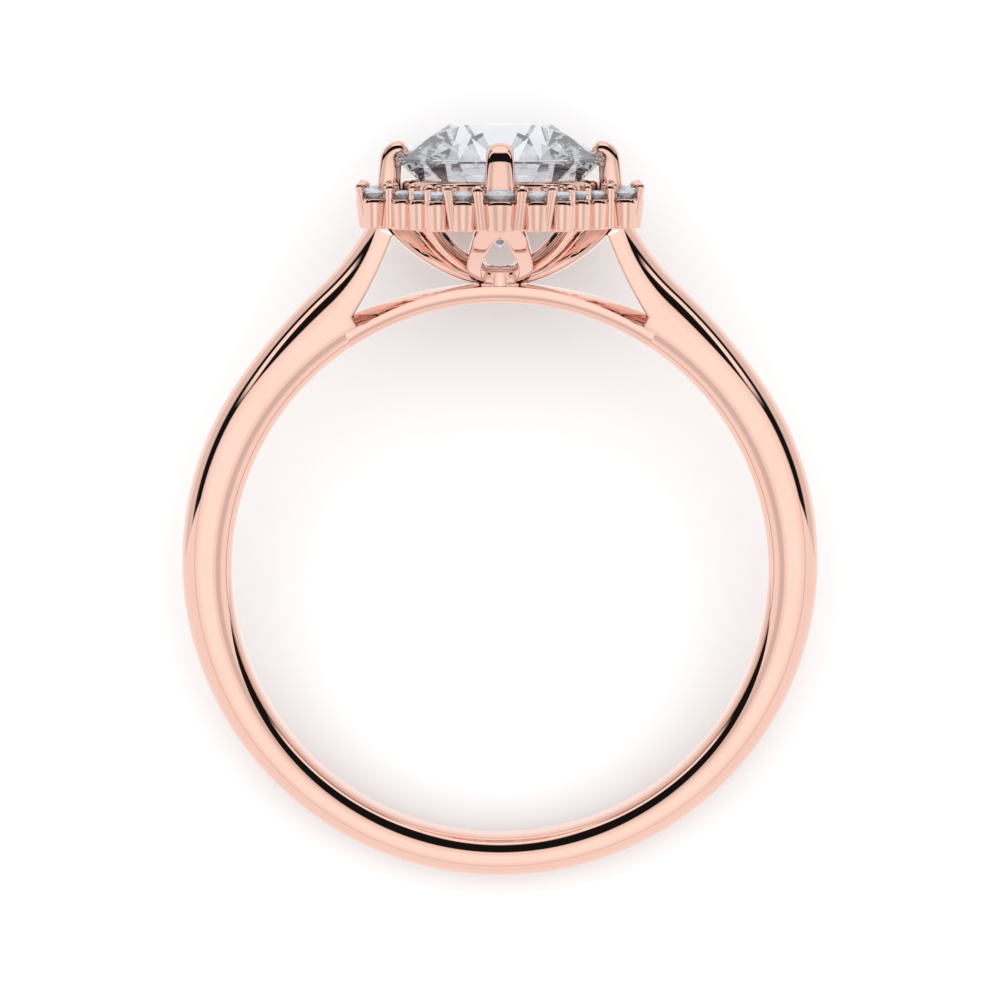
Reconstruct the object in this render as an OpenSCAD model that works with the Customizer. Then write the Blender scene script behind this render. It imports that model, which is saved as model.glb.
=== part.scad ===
// Cathedral halo ring, lying on its side the way it comes to rest by itself.
// One cast and soldered gold body carries a round centre stone and a halo of small stones.
// Every piece is drawn upright first: X to the side, Y through the finger hole, Z from the
// hole's centre up to the head. lying() then lays it down with its front face upwards.

/* [Shank] */
// Diameter of the finger hole
finger_d = 17; // [15:0.1:20]
// Width of the shank, along the finger
shank_w = 1.8; // [1.5:0.1:2.2]
// Wall of the shank opposite the head
bottom_wall = 1.36; // [1.1:0.02:1.8]
// How far the outer circle sits towards the head, which thickens the sides
outer_lift = 0.24; // [0.1:0.02:0.5]
// Height of the rounded outside over the shank's flat sides
dome = 0.45; // [0.25:0.05:0.6]
// Radius that eases the two edges of the finger hole
edge_r = 0.3; // [0.1:0.05:0.4]

/* [Shoulders] */
// Angle from the head at which a shoulder leaves the shank's circle
shoulder_from = 55; // [50:1:60]
// How much flatter a shoulder's middle is than the straight line to the halo
shoulder_dip = 7.5; // [5:0.5:9]
// Length of a shoulder's lower curve, as a share of that line
lower_share = 0.61; // [0.5:0.01:0.66]
// How far a shoulder's outside stands beyond the largest halo stones' centres
shoulder_out = 0.18; // [0.1:0.02:0.4]
// Thickness of a shoulder under the halo
shoulder_t = 0.9; // [0.6:0.05:1.2]
// Thickness of a shoulder beside the window's corner
shoulder_base_t = 1.1; // [0.8:0.05:1.4]
// Bow of the window's outer edge
window_bow = 0.09; // [0.04:0.01:0.2]
// Thickness of the band under the middle of the head
bridge_t = 0.6; // [0.45:0.01:0.8]
// Thickness of that band at the windows' corners
bridge_side_t = 0.84; // [0.7:0.01:1]

/* [Centre stone] */
// Diameter of the centre stone
stone_d = 6.5; // [5.5:0.1:7.5]
// Height of the centre stone's girdle over the halo's underside
girdle_rise = 2.04; // [1.96:0.02:2.3]
// Table of the centre stone, as a share of its diameter
table_share = 0.49; // [0.45:0.01:0.6]
// Height of the centre stone's crown, as a share of its diameter
crown_share = 0.163; // [0.13:0.001:0.18]
// Height of a girdle, as a share of a stone's diameter
girdle_share = 0.016; // [0.01:0.002:0.03]
// Depth of a pavilion, as a share of a stone's diameter
pavilion_share = 0.425; // [0.4:0.005:0.44]
// Gap between any stone and the metal that holds it
stone_gap = 0.03; // [0.02:0.005:0.06]

/* [Halo] */
// Height of the halo's underside over the finger hole
head_lift = 2.38; // [2.2:0.01:2.8]
// Distance from the centre stone's edge out to the largest halo stones' centres
halo_out = 0.75; // [0.7:0.01:0.9]
// Height of the halo's cups
cup_h = 0.94; // [0.8:0.02:1]
// Wall of a cup around its stone, at its lip
cup_wall = 0.07; // [0.05:0.01:0.12]
// Radius of a cup's foot, as a share of its radius at the lip
cup_foot_share = 0.7; // [0.65:0.01:0.9]
// Height of the smooth rim round the feet of the cups
rim_h = 0.18; // [0.12:0.01:0.2]
// How far that rim stands out of a cup's foot
rim_out = 0.05; // [0.05:0.01:0.1]
// Height of the halo stones' girdles over the halo's underside
accent_rise = 1.12; // [1.1:0.02:1.2]
// Table of a halo stone, as a share of its diameter
accent_table_share = 0.56; // [0.5:0.01:0.62]
// Height of a halo stone's crown, as a share of its diameter
accent_crown_share = 0.15; // [0.12:0.005:0.17]
// Height of the posts between the halo stones, with their rounded tips
post_h = 1.42; // [1.36:0.01:1.5]
// Height of the inner rail under the centre stone
rail_h = 1.49; // [1.4:0.01:1.6]
// Wall of the inner rail
rail_t = 0.33; // [0.25:0.01:0.4]
// How far inside the centre stone's edge the rail's outside is
rail_in = 0.17; // [0.1:0.01:0.25]

/* [Claws] */
// Width of a claw round the stone
claw_w = 0.88; // [0.7:0.02:1]
// Thickness of a claw outwards from the stone
claw_t = 0.6; // [0.5:0.02:0.7]
// Distance from the stone's edge to the middle of a claw
claw_out = 0.37; // [0.34:0.01:0.4]
// Height of a claw's top over the centre stone's girdle
claw_rise = 0.66; // [0.6:0.01:0.75]
// How far a claw's tip reaches in over the stone's edge
claw_reach = 0.34; // [0.25:0.01:0.45]

/* [Gallery] */
// How much larger than the halo, out to its largest stones' centres, the gallery's bowl is
bowl_out = 0.47; // [0.3:0.01:0.7]
// Wall of the four open loops
loop_wall = 0.52; // [0.4:0.02:0.6]
// Half width of a loop at its widest
loop_half_w = 1; // [0.9:0.01:1.1]
// Half width of a loop under the halo
loop_top_half_w = 0.48; // [0.4:0.01:0.6]
// Width of a loop's strand
strand_w = 0.47; // [0.4:0.01:0.55]
// Height of the top of a loop's opening below the halo's underside
loop_top_drop = 0.3; // [0.28:0.01:0.4]
// Height of a loop's widest place below the halo's underside
loop_mid_drop = 1.04; // [1:0.01:1.1]
// How far the plain struts between the loops are set inside the bowl
strut_in = 0.27; // [0.2:0.01:0.35]
// Wall of the plain struts
strut_wall = 0.45; // [0.35:0.01:0.5]
// Half width of a plain strut under the halo
strut_half_w = 0.42; // [0.3:0.01:0.5]
// Half width of a plain strut at its foot
strut_foot_half_w = 0.28; // [0.2:0.01:0.35]
// Radius of the hub in which loops and struts meet on the band
hub_r = 0.9; // [0.8:0.01:1.1]

/* [Hidden] */
$fn = 96;
gold = [0.93, 0.72, 0.65];
diamond = [0.88, 0.92, 0.95];
// How far a cut runs past what it cuts, and how deep a piece that is soldered on runs in
past = 1;
bite = 0.12;
// How far a soldered piece stands back from, or out of, the face of the one it joins
step = 0.02;

// Halo stones of an eighth of the halo, as shares of halo_r: side, out, radius
stone_table = [
  [0, 1, 0.124],
  [0.283, 1.01, 0.095],
  [0.471, 0.97, 0.078],
  [0.619, 0.748, 0.07]
];
// Posts and pins of an eighth, as shares of halo_r: tip side, tip out, radius, lean side, lean out
post_table = [
  [0.169, 1.07, 0.051, 0.03, 0.05],
  [0.398, 1.09, 0.036, 0.045, 0.06],
  [0.539, 0.85, 0.044, 0, 0],
  [0.136, 0.879, 0.029, 0, 0],
  [0.345, 0.888, 0.029, 0, 0],
  [0.473, 0.813, 0.029, 0, 0]
];
// The bead on each diagonal, in the same columns
corner_post = [0, 0.949, 0.036, 0, 0];
// Where a brilliant's star facets end, as a share of the way from table to girdle, and where its
// lower facets end, as a share of its radius
star_share = 0.45;
low_share = 0.22;
// Radius of the hole under a halo stone and of its cup's mouth, as shares of the stone's radius
hole_share = 0.55;
mouth_share = 0.9;

finger_r = finger_d / 2;
stone_r = stone_d / 2;
outer_r = finger_r + bottom_wall + outer_lift;
dome_r = (pow(shank_w / 2, 2) + pow(dome, 2)) / (2 * dome);
halo_z = finger_r + head_lift;
halo_r = stone_r + halo_out;
girdle_z = halo_z + girdle_rise;
accent_z = halo_z + accent_rise;
rail_r = stone_r - rail_in;
bowl_r = halo_r + bowl_out;
bowl_z =finger_r + bridge_t - bite / 2 + bowl_r;
// Loops and struts start inside the hub, and a loop's opening ends in a narrow top
bowl_from = hub_r / 2;
cut_from = hub_r / 3;
loop_tip_half_w = strand_w / 5;

// The shoulder is a chain of arcs that meet end to end: the shank's circle, a flatter curve
// that bulges outwards, and a curve that turns up to the halo
function along(angle) = [-sin(angle), cos(angle)];
leave = [0, outer_lift] + outer_r * along(shoulder_from);
shoulder_top = [-(halo_r + shoulder_out), halo_z + bite];
line = shoulder_top - leave;
mid_slope = atan2(line.y, line.x) - shoulder_dip;
lower_r = lower_share * norm(line) / ((shoulder_from - mid_slope) * PI / 180);
lower_centre = leave - lower_r * along(shoulder_from);
turn = lower_centre + lower_r * along(mid_slope);
rest = shoulder_top - turn;
upper_r = (rest * rest) / (2 * rest * along(mid_slope));
upper_centre = turn + upper_r * along(mid_slope);
upper_slope = 2 * atan2(rest.y, rest.x) - mid_slope;
// The section reaches in as far as the finger hole everywhere
section_depth = norm(turn) - finger_r + 3 * bite;
// Angle by which a length of a shoulder runs into the one before it
run_in = 1.5;
// Turn of the upper curve past the halo's underside, trimmed off there
overrun = 12;

// The windows between shoulders and band
corner_x = -turn.x - shoulder_base_t;
corner_z = sqrt(pow(finger_r + bridge_side_t, 2) - pow(corner_x, 2));
window_top_x = halo_r + shoulder_out - shoulder_t;
bridge_rise = finger_r + bridge_t - corner_z;
bridge_r = (pow(corner_x, 2) + pow(bridge_rise, 2)) / (2 * bridge_rise);
bridge_centre_z = finger_r + bridge_t - bridge_r;
// Angle by which the band runs on into each shoulder, and how far the windows' sides go down there
bridge_run_in = 5;
window_foot = dome + bite;
window_side = [corner_x - window_top_x, halo_z - corner_z];
window_r = (window_side * window_side) / (8 * window_bow);

// The whole halo from its first eighth: mirrored on the diagonal, then turned round
quarter_stones = concat(
  [for (s = stone_table) s * halo_r],
  [for (i = [len(stone_table) - 1 : -1 : 1])
    [stone_table[i].y, stone_table[i].x, stone_table[i].z] * halo_r]
);
quarter_count = len(quarter_stones);
function turned(p, angle) = [
  p.x * cos(angle) + p.y * sin(angle),
  p.y * cos(angle) - p.x * sin(angle)
];
halo_stones = [
  for (q = [0 : 3])
    for (s = quarter_stones)
      concat(turned(s, 90 * q), s.z)
];
halo_names = [for (i = [0 : len(halo_stones) - 1]) str("halo_stone_", i + 1)];

function cup_foot_r(radius) = cup_foot_share * (radius + cup_wall);
function rim_r(radius) = cup_foot_r(radius) + rim_out;

// The lying pose: the halo's rim and the shank's back edge, opposite the head, touch the surface
rim_reach = halo_r * stone_table[0].y + rim_r(halo_r * stone_table[0].z);
edge_z = outer_r - outer_lift - dome;
lay_tilt = atan2(rim_reach - shank_w / 2, halo_z + edge_z);
lay_height = rim_reach * cos(lay_tilt) - halo_z * sin(lay_tilt);
table_z = girdle_z + (girdle_share + crown_share) * stone_d;
head_end = table_z * cos(lay_tilt) + table_share * stone_r * sin(lay_tilt);
foot_end = (outer_r - outer_lift - dome_r) * cos(lay_tilt) + dome_r;

module lying() {
  translate([0, (foot_end - head_end) / 2, lay_height])
    rotate([lay_tilt - 90, 0, 0])
      children();
}

// Draws an outline of X and Z with a thickness along Y, centred on the finger hole
module through(width) {
  rotate([90, 0, 0])
    linear_extrude(width, center = true)
      children();
}

module both_sides() {
  children();
  mirror([1, 0, 0])
    children();
}

// The shank's section along X, from its rounded outside inwards: flat sides and a dome
module section(inset) {
  half_w = shank_w / 2 - inset;
  translate([dome, -half_w])
    square([section_depth - dome, 2 * half_w]);
  intersection() {
    translate([dome_r + inset, 0])
      circle(dome_r);
    translate([0, -half_w])
      square([dome, 2 * half_w]);
  }
}

// Sweeps the section round an axis at centre, from one angle by another
module swept(centre, from, by) {
  translate([centre.x, 0, centre.y])
    rotate([90, 0, 0])
      rotate([0, 0, from])
        rotate_extrude(angle = by)
          children();
}

module shoulder() {
  swept(lower_centre, 90 + mid_slope, shoulder_from - mid_slope + run_in)
    translate([lower_r, 0])
      mirror([1, 0])
        section(step);
  swept(upper_centre, mid_slope - 90 - 2 * run_in, upper_slope - mid_slope + 2 * run_in + overrun)
    translate([upper_r, 0])
      section(2 * step);
}

// The band under the head, with the shank's section
module bridge() {
  half_turn = asin(corner_x / bridge_r) + bridge_run_in;
  swept([0, bridge_centre_z], 90 - half_turn, 2 * half_turn)
    translate([bridge_r, 0])
      mirror([1, 0])
        section(step);
}

// Everything between the shoulders and above the band's flat sides
module window_room() {
  foot_x = corner_x + (corner_x - window_top_x) * window_foot / (halo_z - corner_z);
  foot_z = corner_z - window_foot;
  through(shank_w + past)
    difference() {
      polygon([
        [-foot_x, foot_z],
        [foot_x, foot_z],
        [corner_x, corner_z],
        [window_top_x, halo_z],
        [window_top_x, halo_z + past],
        [-window_top_x, halo_z + past],
        [-window_top_x, halo_z],
        [-corner_x, corner_z]
      ]);
      translate([0, bridge_centre_z])
        circle(bridge_r - dome - bite / 2);
      both_sides()
        window_edge();
    }
}

// The disc whose rim is the outer edge of one window
module window_edge() {
  middle = [(corner_x + window_top_x) / 2, (corner_z + halo_z) / 2];
  out = [window_side.y, window_side.x] / norm(window_side);
  translate(middle + sqrt(pow(window_r, 2) - window_side * window_side / 4) * out)
    circle(window_r);
}

// The finger hole with an eased edge at both ends
module finger_hole() {
  edge_y = shank_w / 2 - edge_r;
  rotate([90, 0, 0])
    rotate_extrude()
      difference() {
        translate([0, -edge_y - edge_r - past])
          square([finger_r + edge_r, 2 * (edge_y + edge_r + past)]);
        translate([finger_r, -edge_y])
          square([edge_r + past, 2 * edge_y]);
        for (side = [-1, 1])
          translate([finger_r + edge_r, side * edge_y])
            circle(edge_r);
      }
}

module shank() {
  difference() {
    union() {
      difference() {
        union() {
          swept([0, outer_lift], 90 + shoulder_from, 360 - 2 * shoulder_from)
            translate([outer_r, 0])
              mirror([1, 0])
                section(0);
          both_sides()
            shoulder();
        }
        window_room();
      }
      bridge();
    }
    finger_hole();
    translate([-outer_r, -shank_w, halo_z + bite])
      cube([2 * outer_r, 2 * shank_w, outer_r]);
  }
}

// A drop shape: a round bottom drawn to a narrower flat top
module drop(radius, centre_z, top_half, top_z) {
  corner = [top_half, top_z - centre_z];
  reach = atan2(corner.y, corner.x) - acos(radius / norm(corner));
  touch = radius * [cos(reach), sin(reach)];
  translate([0, centre_z]) {
    circle(radius);
    polygon([corner, [-corner.x, corner.y], [-touch.x, touch.y], touch]);
  }
}

// A round bowl between two distances from the Z axis, open above
module shell(outside, wall, from, to) {
  translate([0, 0, bowl_z])
    rotate_extrude()
      intersection() {
        difference() {
          circle(outside);
          circle(outside - wall);
        }
        translate([from, -bowl_r - past])
          square([to - from, bowl_r + past]);
      }
}

// Cuts a piece out of the bowl's front with an outline of X and Z
module bowl_piece(outside, wall) {
  intersection() {
    shell(outside, wall, bowl_from, bowl_r);
    translate([0, -cut_from, 0])
      rotate([90, 0, 0])
        linear_extrude(bowl_r + past)
          children();
  }
}

module loop() {
  bowl_piece(bowl_r, loop_wall)
    difference() {
      drop(loop_half_w, halo_z - loop_mid_drop, loop_top_half_w, halo_z + bite);
      drop(loop_half_w - strand_w, halo_z - loop_mid_drop, loop_tip_half_w, halo_z - loop_top_drop);
    }
}

module strut() {
  bowl_piece(bowl_r - strut_in, strut_wall)
    polygon([
      [-strut_foot_half_w, bowl_z - bowl_r],
      [strut_foot_half_w, bowl_z - bowl_r],
      [strut_half_w, halo_z + bite],
      [-strut_half_w, halo_z + bite]
    ]);
}

module hub() {
  shell(bowl_r + step, strut_in + strut_wall + 2 * step, 0, hub_r);
}

module gallery() {
  for (q = [0 : 3]) {
    rotate([0, 0, 90 * q])
      loop();
    rotate([0, 0, 90 * q + 45])
      strut();
  }
  hub();
}

// A plate through all the stones' places, and a cup under each that widens to its lip
module cups() {
  linear_extrude(cup_h)
    polygon([for (s = halo_stones) [s.x, s.y]]);
  for (s = halo_stones)
    translate([s.x, s.y]) {
      cylinder(r1 = cup_foot_r(s.z), r2 = s.z + cup_wall, h = cup_h);
      cylinder(r = rim_r(s.z), h = rim_h);
    }
}

// A round rod from one point towards another, with a round end centred there
module post(foot, tip, radius) {
  run = tip - foot;
  translate(foot)
    rotate([0, acos(run.z / norm(run)), atan2(run.y, run.x)])
      rotate_extrude() {
        square([radius, norm(run)]);
        translate([0, norm(run)])
          intersection() {
            circle(radius);
            square(radius);
          }
      }
}

module halo_post(p) {
  radius = halo_r * p.z;
  foot_z = halo_z + rim_h / 2;
  tip_z = halo_z + post_h - radius;
  post(
    [halo_r * (p.x - p[3]), halo_r * (p.y - p[4]), foot_z],
    [halo_r * p.x, halo_r * p.y, tip_z],
    radius
  );
}

module posts() {
  for (q = [0 : 3])
    rotate([0, 0, 90 * q]) {
      both_sides()
        for (p = post_table)
          halo_post(p);
      rotate([0, 0, 45])
        halo_post(corner_post);
    }
}

module rail() {
  translate([0, 0, halo_z])
    difference() {
      cylinder(r = rail_r, h = rail_h);
      translate([0, 0, -past])
        cylinder(r = rail_r - rail_t, h = rail_h + 2 * past);
    }
}

// A claw is what three outlines share: from its side, from its front and from above
module claw() {
  middle = stone_r + claw_out;
  lobe = claw_t / 2;
  lobe_z = girdle_z + claw_rise - lobe;
  tip = stone_r - claw_reach + lobe;
  foot_z = halo_z + bite;
  bend = (claw_w - claw_t) / 2;
  intersection() {
    rotate([90, 0, 0])
      linear_extrude(claw_w + past, center = true) {
        translate([middle - lobe, foot_z])
          square([claw_t, lobe_z - foot_z]);
        translate([middle, lobe_z])
          circle(lobe);
        translate([tip, lobe_z - lobe])
          square([middle - tip, claw_t]);
        translate([tip, lobe_z])
          circle(lobe);
      }
    translate([stone_r, 0, 0])
      rotate([90, 0, 90])
        linear_extrude(2 * claw_w + past, center = true) {
          translate([-claw_w / 2, foot_z])
            square([claw_w, lobe_z - foot_z]);
          for (side = [-1, 1])
            translate([side * bend, lobe_z])
              circle(lobe);
          translate([-bend, foot_z])
            square([2 * bend, lobe_z + lobe - foot_z]);
        }
    linear_extrude(girdle_z + claw_rise + past) {
      translate([tip - lobe + claw_w / 2, 0])
        circle(claw_w / 2);
      translate([middle + lobe - claw_w / 2, 0])
        circle(claw_w / 2);
      translate([tip - lobe + claw_w / 2, -claw_w / 2])
        square([middle - tip + 2 * lobe - claw_w, claw_w]);
    }
  }
}

// The room that a stone and its gap take, from the bottom of its cut upwards
module stone_room(radius, table, crown, foot) {
  pavilion = 2 * radius * pavilion_share;
  top = 2 * radius * (girdle_share + crown) + stone_gap;
  rotate_extrude()
    polygon(concat(
      foot,
      [
        [radius + stone_gap, -stone_gap],
        [radius + stone_gap, 2 * radius * girdle_share + stone_gap],
        [table * radius + stone_gap, top],
        [0, top]
      ],
      len(foot) > 0 ? [] : [[0, -pavilion - stone_gap]]
    ));
}

module accent_room(radius) {
  hole = hole_share * radius;
  mouth = mouth_share * radius;
  cup_top = cup_h - accent_rise;
  under = -2 * pavilion_share * (radius - mouth) - stone_gap;
  stone_room(radius, accent_table_share, accent_crown_share, [
    [0, -accent_rise - past],
    [hole, -accent_rise - past],
    [hole, cup_top - mouth + hole],
    [mouth, cup_top],
    [mouth, under]
  ]);
}

module head() {
  difference() {
    union() {
      translate([0, 0, halo_z])
        cups();
      posts();
    }
    translate([0, 0, halo_z - past])
      cylinder(r = rail_r - rail_t / 2, h = cup_h + 2 * past);
  }
  rail();
  for (q = [0 : 3])
    rotate([0, 0, 90 * q])
      claw();
}

module gold_ring() {
  color(gold)
    lying()
      difference() {
        union() {
          shank();
          gallery();
          head();
        }
        translate([0, 0, girdle_z])
          stone_room(stone_r, table_share, crown_share, []);
        for (s = halo_stones)
          translate([s.x, s.y, accent_z])
            accent_room(s.z);
      }
}

// A round brilliant with its girdle's lower edge at Z = 0: an eight-sided table, eight star
// facets, eight kites and sixteen upper facets above it, sixteen lower facets and eight mains
// below it. The kites and the mains each lie in one plane.
module brilliant(radius, table, crown) {
  table_r = table * radius;
  girdle_h = 2 * radius * girdle_share;
  top = girdle_h + 2 * radius * crown;
  bottom = -2 * radius * pavilion_share;
  crown_slope = (top - girdle_h) / (radius - table_r);
  star_r = table_r + (radius - table_r) * star_share;
  star_z = top - crown_slope * (star_r * cos(22.5) - table_r);
  low_r = low_share * radius;
  low_z = bottom - bottom * low_r * cos(22.5) / radius;
  function ring(r, z, count, phase) = [
    for (i = [0 : count - 1]) let (a = (i + phase) * 360 / count) [r * cos(a), r * sin(a), z]
  ];
  // Points by row: table 0, stars 8, girdle top 16, girdle foot 32, low corners 48, tip 56
  points = concat(
    ring(table_r, top, 8, 0), ring(star_r, star_z, 8, 0.5),
    ring(radius, girdle_h, 16, 0), ring(radius, 0, 16, 0),
    ring(low_r, low_z, 8, 0.5), [[0, 0, bottom]]
  );
  faces = concat(
    [[for (i = [7 : -1 : 0]) i]],
    [for (i = [0 : 7]) let (n = (i + 1) % 8, g = 16 + 2 * i, far = 16 + 2 * n) each [
      [i, n, 8 + i],
      [i, 8 + i, g, 8 + (i + 7) % 8],
      [8 + i, g + 1, g],
      [8 + i, far, g + 1],
      [g, g + 1, g + 17, g + 16],
      [g + 1, far, far + 16, g + 17],
      [g + 16, g + 17, 48 + i],
      [g + 17, far + 16, 48 + i],
      [56, 48 + (i + 7) % 8, g + 16, 48 + i]
    ]]
  );
  polyhedron(points, faces);
}

module centre_stone() {
  color(diamond)
    lying()
      translate([0, 0, girdle_z])
        brilliant(stone_r, table_share, crown_share);
}

module halo_stone(seat) {
  color(diamond)
    lying()
      translate([seat.x, seat.y, accent_z])
        brilliant(seat.z, accent_table_share, accent_crown_share);
}

gold_ring();
centre_stone();
for (i = [0 : len(halo_stones) - 1])
  halo_stone(halo_stones[i]);
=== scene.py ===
"""A cathedral halo ring in polished rose gold, lying on its side on a pale table.

Every piece is drawn in the ring's upright frame in millimetres: X across, Y through the finger
hole with the seen side at -Y, Z from the hole's centre up to the head. One matrix lays it down.
"""

import logging
from dataclasses import dataclass
from enum import Enum
from math import acos, asin, atan2, copysign, cos, degrees, pi, radians, sin, sqrt
from typing import Callable

import bmesh
import bpy
from mathutils import Matrix, Vector


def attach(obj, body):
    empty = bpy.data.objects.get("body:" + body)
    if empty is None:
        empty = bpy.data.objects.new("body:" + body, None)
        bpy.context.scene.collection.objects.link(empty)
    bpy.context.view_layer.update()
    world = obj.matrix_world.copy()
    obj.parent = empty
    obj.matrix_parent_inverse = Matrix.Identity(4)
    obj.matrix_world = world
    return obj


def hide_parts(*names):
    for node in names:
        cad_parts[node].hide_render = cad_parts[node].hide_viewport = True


Material = bpy.types.Material
Mesh = bmesh.types.BMesh
Piece = bpy.types.Object
Fade = tuple[float, float, float]
Inputs = dict[str | int, object]
Profile = list[tuple[float, float]]
Socket = bpy.types.NodeSocket
Tree = bpy.types.NodeTree

LOG = logging.getLogger("halo_ring")
MM = 0.001
# Points of a mesh that are nearer than this, in mm, are one
WELD = 1e-4
# Points round a strand, a post or a claw
ROUND = 28
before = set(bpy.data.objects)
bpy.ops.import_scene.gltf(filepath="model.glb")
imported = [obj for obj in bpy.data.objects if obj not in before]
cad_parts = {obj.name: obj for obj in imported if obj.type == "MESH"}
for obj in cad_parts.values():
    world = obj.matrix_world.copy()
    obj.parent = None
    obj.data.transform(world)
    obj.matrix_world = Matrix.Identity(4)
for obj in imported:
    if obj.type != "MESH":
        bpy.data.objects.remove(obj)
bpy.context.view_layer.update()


@dataclass(frozen=True)
class RingSizes:
    """The ring's sizes in mm and degrees, in its upright frame, named as in the solid's source.

    A share is one of a stone's diameter, except lower_share, which is one of a shoulder's line,
    and cup_foot_share, which is one of a cup's radius. A bite is how deep soldered pieces overlap.
    """

    finger_r: float = 8.5
    shank_w: float = 1.8
    bottom_wall: float = 1.36
    outer_lift: float = 0.24
    dome: float = 0.45
    edge_r: float = 0.3
    shoulder_from: float = 55.0
    shoulder_dip: float = 7.5
    lower_share: float = 0.61
    shoulder_out: float = 0.18
    shoulder_t: float = 0.9
    shoulder_base_t: float = 1.1
    window_bow: float = 0.09
    bridge_t: float = 0.6
    bridge_side_t: float = 0.84
    stone_r: float = 3.25
    table_share: float = 0.49
    crown_share: float = 0.163
    girdle_share: float = 0.016
    head_lift: float = 2.38
    girdle_rise: float = 2.04
    halo_out: float = 0.75
    cup_h: float = 0.94
    cup_wall: float = 0.07
    cup_foot_share: float = 0.7
    rim_out: float = 0.05
    post_h: float = 1.42
    bowl_r: float = 4.47
    bite: float = 0.12

    @property
    def outer_r(self) -> float:
        """Radius of the shank's outer circle."""
        return self.finger_r + self.bottom_wall + self.outer_lift

    @property
    def halo_z(self) -> float:
        """Height of the halo's underside."""
        return self.finger_r + self.head_lift

    @property
    def halo_r(self) -> float:
        """Distance of the largest halo stones from the middle."""
        return self.stone_r + self.halo_out

    @property
    def girdle_z(self) -> float:
        """Height of the centre stone's girdle."""
        return self.halo_z + self.girdle_rise

    @property
    def bowl_z(self) -> float:
        """Height of the centre of the bowl that the gallery lies on."""
        return self.finger_r + self.bridge_t - self.bite / 2 + self.bowl_r

    def cup_foot(self, radius: float) -> float:
        """Outside radius of the foot of a cup for a stone of a radius."""
        return self.cup_foot_share * (radius + self.cup_wall)

    @property
    def edge_z(self) -> float:
        """Distance from the hole's centre down to the edges of the foot's dome."""
        return self.outer_r - self.outer_lift - self.dome

    @property
    def tilt(self) -> float:
        """Angle by which the lying ring's finger hole leans.

        Returns:
            The angle in radians, at which the foot's edge and the halo's rim touch the table.
        """
        front = HALO_STONES[0]
        rim_reach = self.halo_r * front.out
        rim_reach += self.cup_foot(self.halo_r * front.radius) + self.rim_out
        return atan2(rim_reach - self.shank_w / 2, self.halo_z + self.edge_z)

    def laid(self) -> Matrix:
        """Gives the matrix from the upright frame in mm to the lying frame in metres.

        Returns:
            The matrix, which lays the shank's foot and the halo's rim on the table.
        """
        dome_r = ((self.shank_w / 2) ** 2 + self.dome**2) / (2 * self.dome)
        height = self.shank_w / 2 * cos(self.tilt) + self.edge_z * sin(self.tilt)
        table_z = self.girdle_z + (self.girdle_share + self.crown_share) * 2 * self.stone_r
        table_r = self.table_share * self.stone_r
        head_end = table_z * cos(self.tilt) + table_r * sin(self.tilt)
        foot_end = (self.outer_r - self.outer_lift - dome_r) * cos(self.tilt) + dome_r
        move = Matrix.Translation((0, (foot_end - head_end) / 2, height))
        turn = Matrix.Rotation(self.tilt - pi / 2, 4, "X")
        return Matrix.Scale(MM, 4) @ move @ turn


@dataclass(frozen=True)
class StoneSeat:
    """A halo stone of the first eighth, in shares of the halo's radius."""

    side: float
    out: float
    radius: float


@dataclass(frozen=True)
class PostSeat:
    """A post of the first eighth, in shares of the halo's radius.

    The tip is at side and out, and the foot is set back by lean_side and lean_out.
    """

    side: float
    out: float
    radius: float
    lean_side: float = 0.0
    lean_out: float = 0.0


HALO_STONES = (
    StoneSeat(0.0, 1.0, 0.124),
    StoneSeat(0.283, 1.01, 0.095),
    StoneSeat(0.471, 0.97, 0.078),
    StoneSeat(0.619, 0.748, 0.07),
)
HALO_POSTS = (
    PostSeat(0.169, 1.07, 0.051, 0.03, 0.05),
    PostSeat(0.398, 1.09, 0.036, 0.045, 0.06),
    PostSeat(0.539, 0.85, 0.044),
    PostSeat(0.136, 0.879, 0.029),
    PostSeat(0.345, 0.888, 0.029),
    PostSeat(0.473, 0.813, 0.029),
)
CORNER_POST = PostSeat(0.0, 0.949, 0.036)
RING = RingSizes()
LAID = RING.laid()
QUARTERS = [Matrix.Rotation(pi / 2 * i, 4, "Z") for i in range(4)]
EIGHTH = Matrix.Rotation(pi / 4, 4, "Z")


class Slot(Enum):
    """The record's material slots."""

    GOLD = "rose_gold"
    STONE = "diamond"


def linear(hex_colour: str) -> tuple[float, float, float, float]:
    """Turns an sRGB hex colour into linear values.

    Args:
        hex_colour: Six hex digits.

    Returns:
        Red, green, blue and an alpha of 1.
    """
    parts = [int(hex_colour[i : i + 2], 16) / 255 for i in (0, 2, 4)]
    flat = [p / 12.92 if p <= 0.04045 else ((p + 0.055) / 1.055) ** 2.4 for p in parts]
    return (flat[0], flat[1], flat[2], 1.0)


def add_node(
    tree: Tree, kind: str, inputs: Inputs | None = None, **settings: object
) -> bpy.types.Node:
    """Adds a node with its settings and its inputs.

    Args:
        tree: The node tree.
        kind: The shader node's type name, without its first two words.
        inputs: Sockets to link or values to set, by the input's name or number.
        **settings: The node's attributes.

    Returns:
        The new node.
    """
    node = tree.nodes.new("ShaderNode" + kind)
    for name, value in settings.items():
        setattr(node, name, value)
    for key, value in (inputs or {}).items():
        if isinstance(value, Socket):
            tree.links.new(value, node.inputs[key])
        else:
            node.inputs[key].default_value = value
    return node


def new_material(name: str) -> tuple[Material, Socket]:
    """Adds an empty node material.

    Args:
        name: Its name.

    Returns:
        The material, and the object coordinates for its patterns.
    """
    mat = bpy.data.materials.new(name)
    mat.use_nodes = True
    mat.node_tree.nodes.clear()
    return mat, add_node(mat.node_tree, "TexCoord").outputs["Object"]


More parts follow.
